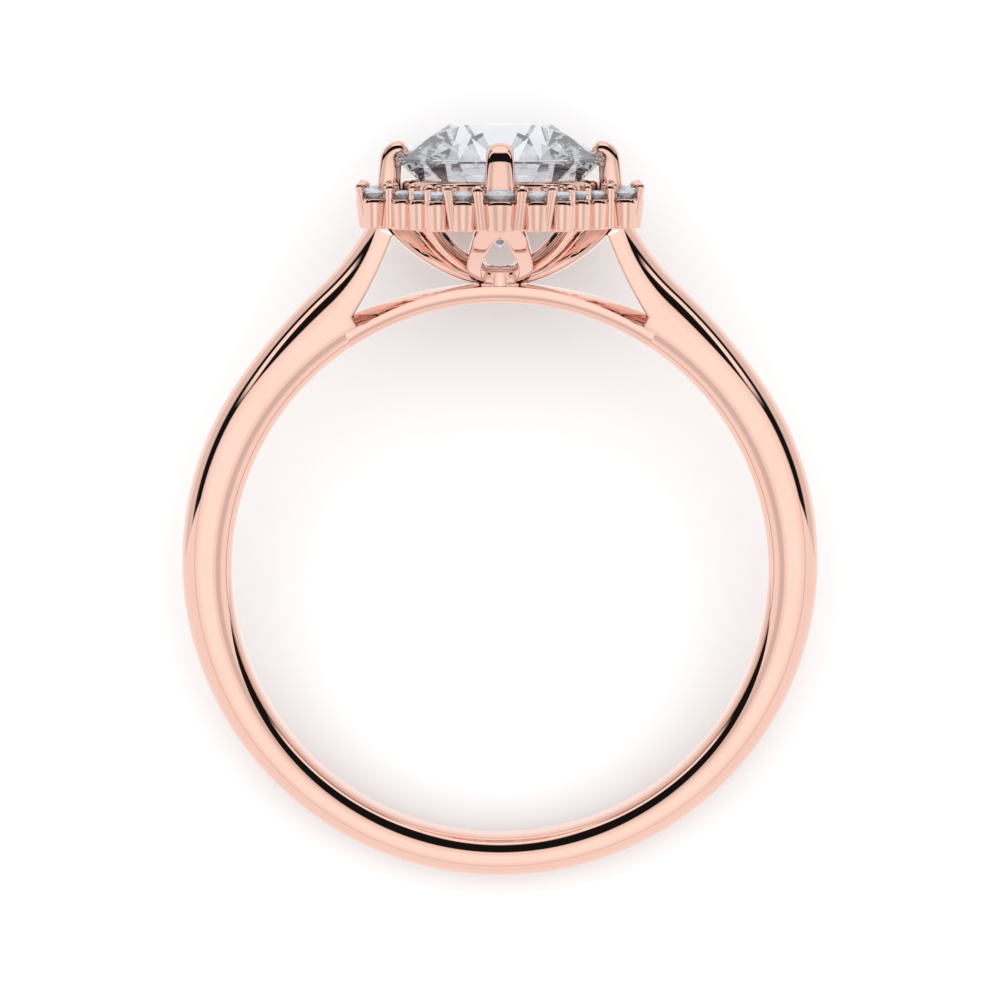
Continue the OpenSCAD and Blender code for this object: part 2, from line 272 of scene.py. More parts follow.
def noise(tree: Tree, place: Socket, size_mm: float, detail: float) -> Socket:
    """Adds a noise with features of about a size, since object units are metres."""
    inputs = {"Vector": place, "Scale": 1 / (size_mm * MM), "Detail": detail}
    return add_node(tree, "TexNoise", inputs).outputs["Fac"]


def mottled(tree: Tree, colour: str, other: str, share: Socket) -> Socket:
    """Mixes two hex colours, of which the second comes in by a socket's share."""
    inputs = {0: share, 6: linear(colour), 7: linear(other)}
    return add_node(tree, "Mix", inputs, data_type="RGBA").outputs[2]


def relief(tree: Tree, height: Socket, strength: float, depth_mm: float) -> Socket:
    """Turns a height from 0 to 1 into a relief of a depth and a strength."""
    inputs = {"Height": height, "Strength": strength, "Distance": depth_mm * MM}
    return add_node(tree, "Bump", inputs).outputs["Normal"]


def surface(tree: Tree, inputs: Inputs) -> None:
    """Ends a material with the shader that takes these inputs."""
    shader = add_node(tree, "BsdfPrincipled", inputs)
    add_node(tree, "OutputMaterial", {"Surface": shader.outputs["BSDF"]})


@dataclass(frozen=True)
class RoseGold:
    """Rose gold of 14 carat, cast, then polished to a mirror on a felt wheel.

    The wheel leaves a faint waviness and swirls that only show as a softening of reflections.
    Gold seen in gold takes the painted reflection colour by its share: a painted highlight that
    lightens gold's reflections in gold, paler than the alloy's own colour squared, as on the
    photographed ring.
    """

    name: str = "polished_rose_gold"
    colour: str = "F9CFC1"
    worn_colour: str = "F6C7B6"
    # Painted reflection: the colour that gold seen in gold is lightened to, and how far
    painted_reflection_colour: str = "F6E6E0"
    painted_reflection_share: float = 0.6
    roughness: tuple[float, float] = (0.021, 0.056)
    swirl_mm: float = 0.35
    wave_mm: float = 2.5
    wave_depth_mm: float = 0.02
    wave_strength: float = 0.02

    def build(self) -> Material:
        """Builds the material.

        Returns:
            The material.
        """
        mat, place = new_material(self.name)
        tree = mat.node_tree
        swirl = noise(tree, place, self.swirl_mm, 3.0)
        wave = noise(tree, place, self.wave_mm, 1.0)
        tone = mottled(tree, self.colour, self.worn_colour, wave)
        # Painted reflection: after a glossy bounce, gold is painted paler by the bounce's depth
        depth = add_node(tree, "LightPath").outputs["Glossy Depth"]
        painted_reflection_mix = add_node(tree, "MapRange", {"Value": depth, "To Max": self.painted_reflection_share})
        inner = {0: painted_reflection_mix.outputs["Result"], 6: tone, 7: linear(self.painted_reflection_colour)}
        seen = add_node(tree, "Mix", inner, data_type="RGBA")
        low, high = self.roughness
        gloss = add_node(tree, "MapRange", {"Value": swirl, "To Min": low, "To Max": high})
        inputs = {
            "Metallic": 1.0,
            "Base Color": seen.outputs[2],
            "Roughness": gloss.outputs["Result"],
            "Normal": relief(tree, wave, self.wave_strength, self.wave_depth_mm),
        }
        surface(tree, inputs)
        return mat


@dataclass(frozen=True)
class Diamond:
    """Cut diamond: clear, lapped to flat facets, with a trace of grey in the paste of the lap.

    What isn't clear stands for the glitter of facets too small to tell apart.
    """

    name: str = "cut_diamond"
    clear: float = 0.93
    glitter: float = 0.0
    colour: str = "F6F8FF"
    shade: str = "E9EDF6"
    grain_mm: float = 0.6
    facet_mm: float = 0.14
    facet_depth_mm: float = 0.05
    ior: float = 2.417

    def build(self) -> Material:
        """Builds the material.

        Returns:
            The material.
        """
        mat, place = new_material(self.name)
        tree = mat.node_tree
        cloud = noise(tree, place, self.grain_mm, 2.0)
        facets = add_node(tree, "TexVoronoi", {"Vector": place, "Scale": 1 / (self.facet_mm * MM)})
        inputs = {
            "Roughness": 0.0,
            "IOR": self.ior,
            "Transmission Weight": self.clear,
            "Base Color": mottled(tree, self.colour, self.shade, cloud),
            "Normal": relief(tree, facets.outputs["Distance"], self.glitter, self.facet_depth_mm),
        }
        surface(tree, inputs)
        return mat


def sheet(across: int, along: int, place: Callable[[int, int], Vector]) -> Mesh:
    """Makes a grid and bends it into a surface.

    Args:
        across: Number of faces across.
        along: Number of faces along.
        place: Gives a point for a column from 0 to across and a row from 0 to along.

    Returns:
        The surface, whose seam and ends are open.
    """
    bm = bmesh.new()
    grid = bmesh.ops.create_grid(bm, x_segments=across, y_segments=along, size=0.5)
    for vert in grid["verts"]:
        column = round((vert.co.x + 0.5) * across)
        row = round((vert.co.y + 0.5) * along)
        vert.co = place(column, row)
    return bm


def close_up(bm: Mesh) -> Mesh:
    """Joins a sweep's seam, fills its open ends and turns its faces outwards.

    Args:
        bm: The mesh.

    Returns:
        The same mesh.
    """
    bmesh.ops.remove_doubles(bm, verts=bm.verts[:], dist=WELD)
    rim = [edge for edge in bm.edges if edge.is_boundary]
    if rim:
        bmesh.ops.holes_fill(bm, edges=rim, sides=0)
    bmesh.ops.recalc_face_normals(bm, faces=bm.faces[:])
    return bm


def spun(profile: Profile, steps: int) -> Mesh:
    """Spins a closed or axis-to-axis profile of radius and height round Z.

    Args:
        profile: Points of radius and height in order.
        steps: Number of steps of a full turn.

    Returns:
        A closed mesh.
    """
    bm = bmesh.new()
    points = [bm.verts.new((r, 0.0, z)) for r, z in profile]
    edges = [bm.edges.new(pair) for pair in zip(points, points[1:])]
    if points[0].co.x > 1e-6:
        edges.append(bm.edges.new((points[-1], points[0])))
    turn = {"cent": (0, 0, 0), "axis": (0, 0, 1), "angle": 2 * pi, "steps": steps}
    bmesh.ops.spin(bm, geom=points + edges, use_merge=True, **turn)
    return close_up(bm)


def quarter(
    centre: tuple[float, float], radius: float, start: float, end: float, steps: int
) -> Profile:
    """Gives points on an arc in a profile.

    Args:
        centre: The arc's centre.
        radius: Its radius.
        start: First angle in degrees.
        end: Last angle in degrees.
        steps: Number of pieces.

    Returns:
        The points, with both ends.
    """
    angles = [radians(start + (end - start) * i / steps) for i in range(steps + 1)]
    return [(centre[0] + radius * cos(a), centre[1] + radius * sin(a)) for a in angles]


def merged(target: Mesh, part: Mesh, place: Matrix) -> None:
    """Adds a copy of one mesh to another and frees it.

    Args:
        target: The mesh that grows.
        part: The mesh that is added.
        place: Where the copy goes.
    """
    bmesh.ops.transform(part, matrix=place, verts=part.verts[:])
    holder = bpy.data.meshes.new("holder")
    part.to_mesh(holder)
    part.free()
    target.from_mesh(holder)
    bpy.data.meshes.remove(holder)


def placed(bm: Mesh, name: str, material: Material) -> Piece:
    """Puts a mesh in the scene.

    Args:
        bm: The mesh, which is freed.
        name: The object's name.
        material: Its material.

    Returns:
        The object.
    """
    mesh = bpy.data.meshes.new(name)
    bm.to_mesh(mesh)
    bm.free()
    mesh.materials.append(material)
    made = bpy.data.objects.new(name, mesh)
    bpy.context.scene.collection.objects.link(made)
    return made


def finished(bm: Mesh, name: str, material: Material, crease: float = 34.0) -> None:
    """Lays a gold mesh down, shades it and makes it one of the ring's pieces.

    Args:
        bm: The mesh in the upright frame, in mm. It is freed.
        name: The piece's name.
        material: Its material.
        crease: Edges sharper than this angle in degrees stay crisp.
    """
    for face in bm.faces:
        face.smooth = True
    for edge in bm.edges:
        edge.smooth = edge.calc_face_angle(0.0) < radians(crease)
    bmesh.ops.transform(bm, matrix=LAID, verts=bm.verts[:])
    piece = placed(bm, name, material)
    # Stones show the studio instead of the gold behind them, which keeps them white
    piece.visible_transmission = False
    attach(piece, "root")
    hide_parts("gold_ring")
    piece.data.calc_loop_triangles()
    LOG.info("%s: %d triangles", name, len(piece.data.loop_triangles))


@dataclass(frozen=True)
class BandSection:
    """The cross-section of a band: domed outside, slightly crowned sides, eased inner edges.

    Depth 0 is the band's inside, and the dome's top is at the band's thickness. The steps are
    those of one half. Points stand close to a side's ends, so that it shades as one even face.
    """

    thickness: float
    width: float
    dome: float
    edge_r: float
    crown: float = 0.022
    dome_steps: int = 10
    side_shares: tuple[float, ...] = (0.0, 0.06, 0.35, 0.65, 0.94)
    edge_steps: int = 6

    def outside(self, v: float) -> float:
        """Depth of the dome at a distance from the middle plane."""
        radius = ((self.width / 2) ** 2 + self.dome**2) / (2 * self.dome)
        return self.thickness - radius + sqrt(max(radius**2 - v * v, 0.0))

    def inside(self, v: float) -> float:
        """Gives the depth of the inside.

        Args:
            v: Distance from the middle plane.

        Returns:
            The depth, which grows where the edge is eased.
        """
        over = abs(v) - (self.width / 2 - self.edge_r)
        if over <= 0:
            return 0.0
        return self.edge_r - sqrt(max(self.edge_r**2 - over * over, 0.0))

    def half_width(self) -> float:
        """Gives half the section's greatest width.

        Returns:
            Half the width, or less where the dome meets the eased edge because the band is thin.
        """
        low, high = 0.0, self.width / 2
        if self.outside(high) >= self.inside(high):
            return high
        for _ in range(40):
            mid = (low + high) / 2
            if self.outside(mid) > self.inside(mid):
                low = mid
            else:
                high = mid
        return low

    def points(self) -> Profile:
        """Gives the section's points once round.

        Returns:
            Pairs of depth and distance from the middle plane.
        """
        half = self.half_width()
        top, foot = self.outside(half), self.inside(half)
        half_round: Profile = []
        for i in range(self.dome_steps):
            v = half * sin(pi / 2 * (i / self.dome_steps) ** 0.9)
            half_round.append((self.outside(v), v))
        for share in self.side_shares:
            bulge = self.crown * 4 * share * (1 - share) * (top - foot)
            half_round.append((top + (foot - top) * share, half + bulge))
        flat = self.width / 2 - self.edge_r
        reach = half - flat
        for i in range(self.edge_steps):
            over = reach * cos(pi / 2 * i / self.edge_steps)
            half_round.append((self.inside(flat + over), flat + over))
        inner = [(0.0, flat), (0.0, flat * 0.9)]
        other = [(u, -v) for u, v in reversed(half_round[1:])]
        return half_round + inner + [(0.0, -flat * 0.9), (0.0, -flat)] + other


@dataclass(frozen=True)
class Station:
    """A place along a sweep: the dome's top, the inside, and the inside's edge radius."""

    top: Vector
    inside: Vector
    edge_r: float


def swept_band(stations: list[Station], width: float, domes: list[float]) -> Mesh:
    """Sweeps the band's section through stations of the X-Z plane.

    Args:
        stations: The places in order.
        width: The band's width along Y.
        domes: The dome's height at each station.

    Returns:
        The band, whose seam and ends are open.
    """
    rings = []
    for place, dome in zip(stations, domes):
        depth = (place.top - place.inside).length
        rings.append(BandSection(depth, width, dome, place.edge_r).points())
    count = len(rings[0])

    def point(column: int, row: int) -> Vector:
        """Places one vertex of the sweep.

        Args:
            column: Number of the point round the section.
            row: Number of the station.

        Returns:
            The point.
        """
        depth, side = rings[row][column % count]
        place = stations[row]
        out = (place.top - place.inside).normalized()
        spot = place.inside + out * depth
        return Vector((spot.x, side, spot.y))

    return sheet(count, len(stations) - 1, point)


def along(angle: float) -> Vector:
    """Gives the outward direction of an arc whose slope is the angle in degrees, left side."""
    return Vector((-sin(radians(angle)), cos(radians(angle))))


def cut_circle(start: Vector, way: Vector, centre: Vector, radius: float) -> Vector:
    """Finds where a ray first meets a circle.

    Args:
        start: The ray's start.
        way: Its unit direction.
        centre: The circle's centre.
        radius: Its radius.

    Returns:
        The nearest crossing ahead, or the nearest point to the centre if it misses.
    """
    gap = start - centre
    half = gap.dot(way)
    rest = half * half - gap.length_squared + radius * radius
    if rest < 0:
        return start - way * half
    near, far = -half - sqrt(rest), -half + sqrt(rest)
    return start + way * (near if near > 1e-6 else far)


@dataclass
class Shank:
    """The round band, its two shoulders, and the bridge under the head.

    The window's flat side runs on past its corner by the notch. The seam and the inset keep the
    bridge off the band's own faces and the band inside the solid's outline.
    """

    sizes: RingSizes
    gold: Material
    step: float = 0.1
    notch: float = 0.22
    seam: float = 0.004
    leg_edge_r: float = 0.07
    inner_edge_r: float = 0.58
    inset: float = 0.008
    shoulder_dome: float = 0.62
    top_dome: float = 0.34
    bridge_domes: tuple[float, float] = (0.07, 0.42)
    bridge_run: float = 2.5
    bridge_steps: int = 96
    swell_from: float = 1.0

    def __post_init__(self) -> None:
        """Works out the chain of arcs of the left shoulder and its window."""
        s = self.sizes
        self.leave = Vector((0, s.outer_lift)) + along(s.shoulder_from) * s.outer_r
        end = Vector((-(s.halo_r + s.shoulder_out), s.halo_z + s.bite))
        line = end - self.leave
        self.mid_slope = degrees(atan2(line.y, line.x)) - s.shoulder_dip
        turn_angle = radians(s.shoulder_from - self.mid_slope)
        self.lower_r = s.lower_share * line.length / turn_angle
        self.lower_centre = self.leave - along(s.shoulder_from) * self.lower_r
        self.turn = self.lower_centre + along(self.mid_slope) * self.lower_r
        rest = end - self.turn
        self.upper_r = rest.length_squared / (2 * rest.dot(along(self.mid_slope)))
        self.upper_centre = self.turn + along(self.mid_slope) * self.upper_r
        self.top_slope = 2 * degrees(atan2(rest.y, rest.x)) - self.mid_slope
        corner_x = self.turn.x + s.shoulder_base_t
        corner_z = sqrt((s.finger_r + s.bridge_side_t) ** 2 - corner_x**2)
        self.corner = Vector((corner_x, corner_z))
        self.window_top = Vector((-(s.halo_r + s.shoulder_out - s.shoulder_t), s.halo_z))
        side = self.window_top - self.corner
        self.window_r = side.length_squared / (8 * s.window_bow)
        out = Vector((-side.y, side.x)).normalized()
        middle = (self.corner + self.window_top) / 2
        reach = sqrt(self.window_r**2 - side.length_squared / 4)
        self.window_centre = middle + out * reach

    def stations(self) -> list[Station]:
        """Lists the left half's stations from the foot to the halo.

        Returns:
            The stations.
        """
        s = self.sizes
        chain: list[tuple[Vector, float]] = []
        arcs = (
            (Vector((0, s.outer_lift)), s.outer_r, 180.0, s.shoulder_from),
            (self.lower_centre, self.lower_r, s.shoulder_from, self.mid_slope),
            (self.upper_centre, -self.upper_r, self.mid_slope, self.top_slope),
        )
        for centre, radius, start, end in arcs:
            count = round(radians(abs(end - start)) * abs(radius) / self.step)
            for i in range(0 if not chain else 1, count + 1):
                angle = start + (end - start) * i / count
                chain.append((centre + along(angle) * (radius - self.inset), angle))
        notch_way = (self.corner - self.window_top).normalized()
        notch_end = self.corner + notch_way * self.notch
        across = Vector((-notch_way.y, notch_way.x))
        found: list[Station] = []
        for top, angle in chain:
            way = -along(angle)
            edge_r = self.leg_edge_r
            if (notch_end - top).cross(way) < 0:
                inside = cut_circle(top, way, Vector((0, 0)), s.finger_r)
                edge_r = self.inner_edge_r
            elif (self.corner - top).cross(way) < 0:
                inside = top + way * ((self.corner - top).dot(across) / way.dot(across))
            else:
                inside = cut_circle(top, way, self.window_centre, self.window_r)
            found.append(Station(top, inside, edge_r))
        return found

    def dome_at(self, height: float) -> float:
        """Gives the dome's height, which swells along the shoulder and shrinks at the halo.

        Args:
            height: Height of the dome's top.

        Returns:
            The dome's height.
        """
        s = self.sizes
        low, mid, high = self.leave.y - self.swell_from, self.turn.y, s.halo_z + s.bite
        if height < low:
            return s.dome
        if height < mid:
            share = (height - low) / (mid - low)
            return s.dome + (self.shoulder_dome - s.dome) * sin(pi / 2 * share) ** 2
        share = min((height - mid) / (high - mid), 1.0)
        return self.shoulder_dome + (self.top_dome - self.shoulder_dome) * share**1.5

    def build_band(self) -> None:
        """Builds the shank with both shoulders."""
        places = self.stations()
        bm = swept_band(places, self.sizes.shank_w, [self.dome_at(p.top.y) for p in places])
        bmesh.ops.remove_doubles(bm, verts=bm.verts[:], dist=WELD)
        # The end under the halo is closed, and the one at the foot meets its mirrored copy
        end = [e for e in bm.edges if e.is_boundary and abs(e.verts[0].co.x) > 1]
        bmesh.ops.holes_fill(bm, edges=end, sides=0)
        whole = bm.verts[:] + bm.edges[:] + bm.faces[:]
        bmesh.ops.mirror(bm, geom=whole, axis="X", merge_dist=10 * WELD)
        finished(close_up(bm), "shank_and_shoulders", self.gold)

    def build_bridge(self) -> None:
        """Builds the thin band that closes the finger hole under the head."""
        s = self.sizes
        rise = s.finger_r + s.bridge_t - self.corner.y
        radius = (self.corner.x**2 + rise**2) / (2 * rise)
        centre = Vector((0, s.finger_r + s.bridge_t - radius))
        half_turn = degrees(asin(-self.corner.x / radius)) + self.bridge_run
        middle_dome, end_dome = self.bridge_domes
        places, domes = [], []
        for i in range(self.bridge_steps + 1):
            angle = half_turn * (2 * i / self.bridge_steps - 1)
            top = centre + along(angle) * radius
            inside = cut_circle(top, -along(angle), Vector((0, 0)), s.finger_r + self.seam)
            places.append(Station(top, inside, s.edge_r))
            share = min(abs(top.x / self.corner.x), 1.0) ** 2
            domes.append(middle_dome + (end_dome - middle_dome) * share)
        band = close_up(swept_band(places, s.shank_w - 2 * self.seam, domes))
        finished(band, "bridge", self.gold)


def squared(column: int, corner: float) -> tuple[float, float]:
    """Gives a point on a softly squared section.

    Args:
        column: Number of the point round the section.
        corner: How square the section is: 1 is round, towards 0 is square.

    Returns:
        Its shares of half the width and of half the thickness, from -1 to 1.
    """
    turn = 2 * pi * (column % ROUND) / ROUND
    c, s = cos(turn), sin(turn)
    return copysign(abs(c) ** corner, c), copysign(abs(s) ** corner, s)


def strand(
    path: list[Vector],
    faces_out: Callable[[Vector], Vector],
    half_w: Callable[[float], float],
    half_t: float,
    corner: float,
) -> Mesh:
    """Sweeps a strand with a softly squared section along a path.

    Args:
        path: Points of the strand's middle.
        faces_out: Gives the direction that the strand's broad face looks at a point.
        half_w: Gives half the strand's width at a share of its length.
        half_t: Half its thickness.
        corner: How square the section is, as for squared.

    Returns:
        The closed strand.
    """
    last = len(path) - 1

    def point(column: int, row: int) -> Vector:
        """Places one vertex of the strand.

        Args:
            column: Number of the point round the section.
            row: Number of the path's point.

        Returns:
            The point.
        """
        ahead = path[min(row + 1, last)] - path[max(row - 1, 0)]
        out = faces_out(path[row])
        out = (out - ahead * (out.dot(ahead) / ahead.length_squared)).normalized()
        side = ahead.normalized().cross(out)
        wide, thick = squared(column, corner)
        return path[row] + side * (wide * half_w(row / last)) + out * (thick * half_t)

    return close_up(sheet(ROUND, last, point))


@dataclass
class Gallery:
    """Four open loops and four plain struts on a bowl, which meet in a hub on the bridge.

    A loop is a belt round a large lower and a small upper circle. Its sides are bent back round
    a circle of radius cup_r, and lean, as from_middle says, by side_lean. Its strand grows by
    swell_w from the share swell_from of its length over swell_run. The hub's top is dished.
    """

    sizes: RingSizes
    gold: Material
    loop_half_w: float = 1.0
    loop_mid_drop: float = 1.04
    strand_half_w: float = 0.235
    strand_half_t: float = 0.27
    loop_top_drop: float = 0.22
    loop_top_r: float = 0.22
    swell_w: float = 0.085
    swell_from: float = 0.28
    swell_run: float = 0.14
    past_middle: float = 7.0
    cup_r: float = 2.2
    side_lean: float = 0.2
    loop_corner: float = 0.36
    strut_in: float = 0.12
    strut_half_t: float = 0.22
    strut_half_w: tuple[float, float] = (0.25, 0.3)
    strut_corner: float = 0.5
    strut_from: float = 0.12
    strut_steps: int = 24
    hub_r: float = 0.85
    hub_h: float = 0.5
    hub_edge_r: float = 0.08
    hub_dish: tuple[float, float] = (0.04, 0.06)

    def bowl_point(self, x: float, z: float, depth: float) -> Vector:
        """Places a point of the front loop on the bowl, with the loop's sides bent back.

        Args:
            x: Distance to the side.
            z: Height.
            depth: How far inside the bowl's outside it is.

        Returns:
            The point.
        """
        radius = self.sizes.bowl_r - depth
        rise = z - self.sizes.bowl_z
        y = sqrt(max(radius**2 - rise**2, 0.01))
        return Vector((x, -y + x * x / (2 * self.cup_r), z))

    def loop_path(self) -> list[Vector]:
        """Gives the middle line of the front loop, from its left top round to its right top.

        Returns:
            The points.
        """
        s = self.sizes
        mid_z = s.halo_z - self.loop_mid_drop
        low_r = self.loop_half_w - self.strand_half_w
        high_r = self.loop_top_r + self.strand_half_w + self.swell_w
        apart = self.loop_mid_drop - self.loop_top_drop - self.loop_top_r
        lean = asin((low_r - high_r) / apart)
        high_steps, side_steps, low_steps = 14, 7, 22
        # The path passes the middle a little at its top, so that its two ends overlap
        start = radians(90 + self.past_middle)
        flat: list[Vector] = []
        for i in range(high_steps + 1):
            angle = start + (lean - start) * i / high_steps
            flat.append(Vector((cos(angle) * high_r, apart + sin(angle) * high_r)))
        touch = Vector((cos(lean), sin(lean))) * low_r
        flat += [flat[-1].lerp(touch, i / side_steps) for i in range(1, side_steps)]
        for i in range(low_steps + 1):
            angle = lean + (-pi / 2 - lean) * i / low_steps
            flat.append(Vector((cos(angle), sin(angle))) * low_r)
        flat = flat + [Vector((-p.x, p.y)) for p in reversed(flat[:-1])]
        return [self.bowl_point(p.x, mid_z + p.y, self.strand_half_t) for p in flat]

    def strut_path(self) -> list[Vector]:
        """Gives the middle line of the strut that is turned to the front.

        Returns:
            The points.
        """
        s = self.sizes
        radius = s.bowl_r - self.strut_in - self.strut_half_t
        top = acos((s.bowl_z - s.halo_z - s.bite) / radius)
        points = []
        for i in range(self.strut_steps + 1):
            angle = self.strut_from + (top - self.strut_from) * i / self.strut_steps
            out = radius * sin(angle)
            points.append(Vector((0, -out, s.bowl_z - radius * cos(angle))))
        return points

    def build(self) -> None:
        """Builds the gallery."""
        s = self.sizes
        whole = bmesh.new()
        middle = Vector((0, 0, s.bowl_z))

        def straight_out(spot: Vector) -> Vector:
            """Gives the direction out of the bowl."""
            return spot - middle

        def from_middle(spot: Vector) -> Vector:
            """Gives the direction out of the bowl, which also leans with the bent-back sides."""
            return straight_out(spot) + Vector((spot.x * self.side_lean, 0, 0))

        def loop_half_w(share: float) -> float:
            """Gives half the strand's width, which swells upwards from the loop's widest place."""
            rise = min(max((self.swell_from - min(share, 1 - share)) / self.swell_run, 0.0), 1.0)
            return self.strand_half_w + self.swell_w * rise * rise * (3 - 2 * rise)

        def strut_half_w(share: float) -> float:
            """Gives half the strut's width, which grows evenly from the hub to the halo."""
            low, high = self.strut_half_w
            return low + (high - low) * share

        loop_t, strut_t = self.strand_half_t, self.strut_half_t
        loop_path, strut_path = self.loop_path(), self.strut_path()
        for turn in QUARTERS:
            loop = strand(loop_path, from_middle, loop_half_w, loop_t, self.loop_corner)
            merged(whole, loop, turn)
            strut = strand(strut_path, straight_out, strut_half_w, strut_t, self.strut_corner)
            merged(whole, strut, EIGHTH @ turn)
        foot = s.bowl_z - s.bowl_r
        top, edge = foot + self.hub_h, self.hub_edge_r
        halfway, deepest = self.hub_dish
        hub = spun(
            [(0.0, foot), (self.hub_r, foot)]
            + quarter((self.hub_r - edge, top - edge), edge, 0, 90, 8)
            + [(self.hub_r / 2, top - halfway), (0.0, top - deepest)],
            40,
        )
        merged(whole, hub, Matrix.Identity(4))
        finished(whole, "gallery", self.gold)


@dataclass
class Halo:
    """The scalloped cups, their rim, the posts and pins, and the rail under the centre stone.

    The cups keep clear of the solid's own rim, and the plate between them stays inside them.
    Posts and the rail start foot_in above the halo's underside. Points stand within near of a
    wall's ends, so that it shades as one straight face.
    """

    sizes: RingSizes
    gold: Material
    hole_share: float = 0.55
    mouth_share: float = 0.88
    lip_r: float = 0.07
    lip_h: float = 0.16
    foot_r: float = 0.05
    clear: float = 0.002
    bevel: float = 0.02
    near: float = 0.04
    inner_drops: tuple[float, float, float] = (0.01, 0.05, 0.35)
    plate_in: float = 0.015
    foot_in: float = 0.05
    post_bevel: float = 0.03
    post_near: float = 0.02
    rail_r: float = 3.08
    rail_t: float = 0.33
    rail_h: float = 1.49

    def stones(self) -> list[tuple[float, float, float]]:
        """Lists all halo stones in order round the halo.

        Returns:
            X, Y and radius of each, clockwise from the back.
        """
        s = self.sizes
        eighth = [(p.side, p.out, p.radius) for p in HALO_STONES]
        back = [(y, x, r) for x, y, r in reversed(eighth[1:])]
        found = []
        for turn in range(4):
            c, n = cos(pi / 2 * turn), sin(pi / 2 * turn)
            for x, y, r in eighth + back:
                turned = (x * c + y * n, y * c - x * n, r)
                found.append(tuple(s.halo_r * share for share in turned))
        return found

    def cup(self, radius: float) -> Mesh:
        """Builds one cup with its rolled lip and eased foot, on the Z axis.

        Args:
            radius: The stone's radius.

        Returns:
            The mesh.
        """
        s = self.sizes
        wall = radius + s.cup_wall
        rim = s.cup_foot(radius) + s.rim_out - self.clear
        foot, top = s.halo_z, s.halo_z + s.cup_h
        hole = self.hole_share * radius
        mouth = self.mouth_share * radius
        eased = self.foot_r
        slope = (wall - rim) / (s.cup_h - eased)
        profile = [(hole, foot + self.bevel), (hole + self.bevel, foot), (rim - eased, foot)]
        profile += quarter((rim - eased, foot + eased), eased, -60, 0, 4)
        shoulder = top - self.lip_h
        for z in (foot + eased + self.near, shoulder - self.near, shoulder):
            profile.append((rim + slope * (z - foot - eased), z))
        lip = profile[-1][0] - self.lip_r
        stretch = self.lip_h / self.lip_r
        for reach, rise in quarter((lip, 0.0), self.lip_r, 0, 90, 9)[1:]:
            profile.append((reach, shoulder + rise * stretch))
        inner = zip((mouth + self.bevel, mouth, hole), self.inner_drops)
        profile += [(reach, top - drop) for reach, drop in inner]
        return spun(profile, 40)

    def build_cups(self) -> None:
        """Builds the cups and the plate that joins them."""
        s = self.sizes
        whole = bmesh.new()
        ring = self.stones()
        for x, y, radius in ring:
            merged(whole, self.cup(radius), Matrix.Translation((x, y, 0)))
        plate = bmesh.new()
        count = len(ring)
        low = s.halo_z + self.plate_in
        outer = bmesh.ops.create_circle(plate, cap_ends=False, radius=s.halo_r, segments=count)
        for vert in outer["verts"]:
            turn = -atan2(-vert.co.x, vert.co.y) / (2 * pi)
            x, y, _ = ring[round(turn * count) % count]
            vert.co = Vector((x, y, low))
        rim = plate.edges[:]
        inside = self.rail_r - self.rail_t / 2
        inner = bmesh.ops.create_circle(plate, cap_ends=False, radius=inside, segments=count)
        for vert in inner["verts"]:
            vert.co.z = low
        bmesh.ops.bridge_loops(plate, edges=rim + [e for e in plate.edges if e not in set(rim)])
        up = bmesh.ops.extrude_face_region(plate, geom=plate.faces[:])
        raised = [v for v in up["geom"] if isinstance(v, bmesh.types.BMVert)]
        bmesh.ops.translate(plate, verts=raised, vec=(0, 0, s.cup_h - 4 * self.plate_in))
        bmesh.ops.recalc_face_normals(plate, faces=plate.faces[:])
        merged(whole, plate, Matrix.Identity(4))
        finished(whole, "halo_cups", self.gold)

    def post(self, seat: PostSeat) -> Mesh:
        """Builds one round post with a domed tip, in its place in the first eighth.

        Args:
            seat: The post's seat.

        Returns:
            The mesh.
        """
        s = self.sizes
        radius = s.halo_r * seat.radius
        tip = Vector((s.halo_r * seat.side, s.halo_r * seat.out, s.halo_z + s.post_h - radius))
        side, out = seat.side - seat.lean_side, seat.out - seat.lean_out
        foot = Vector((s.halo_r * side, s.halo_r * out, s.halo_z + self.foot_in))
        run = tip - foot
        profile = [(0.0, 0.0), (radius - self.post_bevel, 0.0), (radius, self.post_bevel)]
        profile.append((radius, run.length - self.post_near))
        profile += quarter((0, run.length), radius, 0, 90, 10)[:-1] + [(0.0, run.length + radius)]
        bm = spun(profile, ROUND)
        turn = Vector((0, 0, 1)).rotation_difference(run).to_matrix().to_4x4()
        bmesh.ops.transform(bm, matrix=Matrix.Translation(foot) @ turn, verts=bm.verts[:])
        return bm

    def build_posts(self) -> None:
        """Builds all posts and pins."""
        whole = bmesh.new()
        flip = Matrix.Scale(-1, 4, Vector((1, 0, 0)))
        for turn in QUARTERS:
            for seat in HALO_POSTS:
                merged(whole, self.post(seat), turn)
                merged(whole, self.post(seat), turn @ flip)
            merged(whole, self.post(CORNER_POST), turn @ EIGHTH)
        bmesh.ops.recalc_face_normals(whole, faces=whole.faces[:])
        finished(whole, "halo_posts", self.gold)

    def build_rail(self) -> None:
        """Builds the round rail under the centre stone."""
        s = self.sizes
        top = s.halo_z + self.rail_h
        half = self.rail_t / 2
        middle = self.rail_r - half
        foot = s.halo_z + self.foot_in
        profile = [(middle - half, foot), (middle + half, foot)]
        profile += quarter((middle, top - half), half, 0, 180, 14)
        finished(spun(profile, 128), "centre_rail", self.gold)


